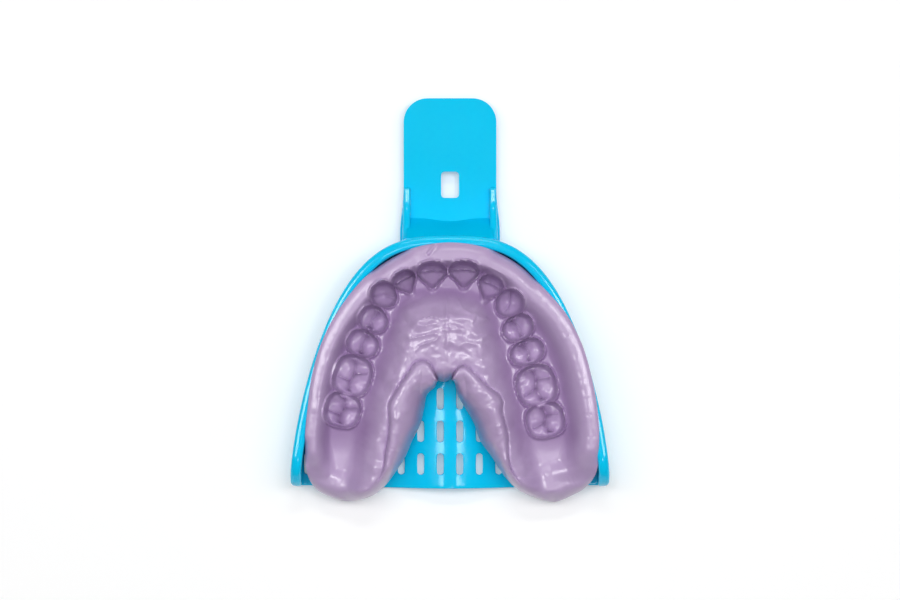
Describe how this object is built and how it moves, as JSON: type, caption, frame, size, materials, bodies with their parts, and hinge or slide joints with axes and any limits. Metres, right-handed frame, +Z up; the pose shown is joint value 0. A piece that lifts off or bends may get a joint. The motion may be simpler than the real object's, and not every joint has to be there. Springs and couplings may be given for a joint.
{
  "type": "dental impression tray",
  "caption": "Upper-jaw impression tray with a slotted floor, rolled rim and flat handle, holding a set silicone impression of the teeth.",
  "frame": {"origin": "centre of the bounding box in plan, on the plane that the tray's floor rests on", "axes": "+Z up, out of the tray's open side, along which the teeth were pressed in; +Y towards the handle; +X to the right seen from above with the handle away from the viewer"},
  "size_m": [0.08, 0.1018, 0.021],
  "materials": {
    "tray": "glossy cyan-blue moulded plastic",
    "silicone": "satin lavender silicone, set"
  },
  "bodies": {
    "root": {"tray": "tray", "impression": "silicone"}
  },
  "joints": []
}
